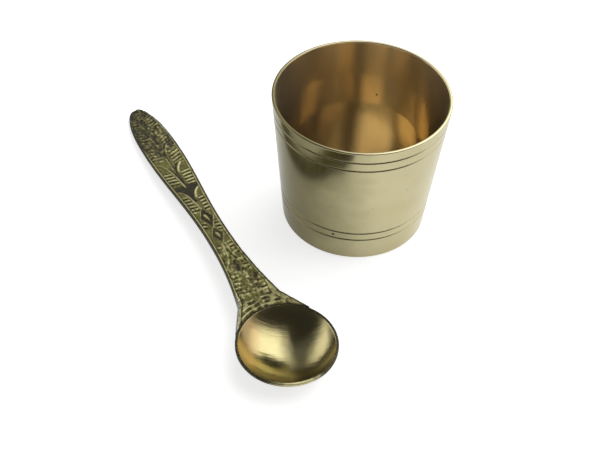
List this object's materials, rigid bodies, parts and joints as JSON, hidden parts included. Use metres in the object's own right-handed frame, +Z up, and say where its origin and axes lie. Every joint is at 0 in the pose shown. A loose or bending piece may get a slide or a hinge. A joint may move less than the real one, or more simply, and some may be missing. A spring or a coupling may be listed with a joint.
{
  "type": "panchpatra with spoon",
  "caption": "Tapered brass cup for ritual water, with turned lines near the rim and foot, and its brass spoon with a round bowl and a leaf-relief handle lying beside it.",
  "frame": {"origin": "centre of the cup's foot, on the surface that the set stands on", "axes": "+Z up, +Y along the spoon from its bowl to its tip, +X from the spoon to the cup"},
  "size_m": [0.0955, 0.1454, 0.05],
  "materials": {
    "turned_brass": "lathe turned and polished pale brass with fine turning marks",
    "bowl_brass": "hand polished brass with fine scratches",
    "handle_brass": "cast brass with dark patina in the recesses and worn ridges",
    "solder": "dull grey-yellow hard solder"
  },
  "bodies": {
    "cup": {"cup_wall": "turned_brass", "cup_floor": "turned_brass", "floor_solder": "solder"},
    "spoon": {"spoon_bowl": "bowl_brass", "spoon_handle": "handle_brass", "spoon_solder": "solder"}
  },
  "joints": [
    {"name": "spoon_lift", "type": "slide", "parent": "cup", "child": "spoon", "axis": [0, 0, 1], "range_m": [0, 0.12]}
  ]
}
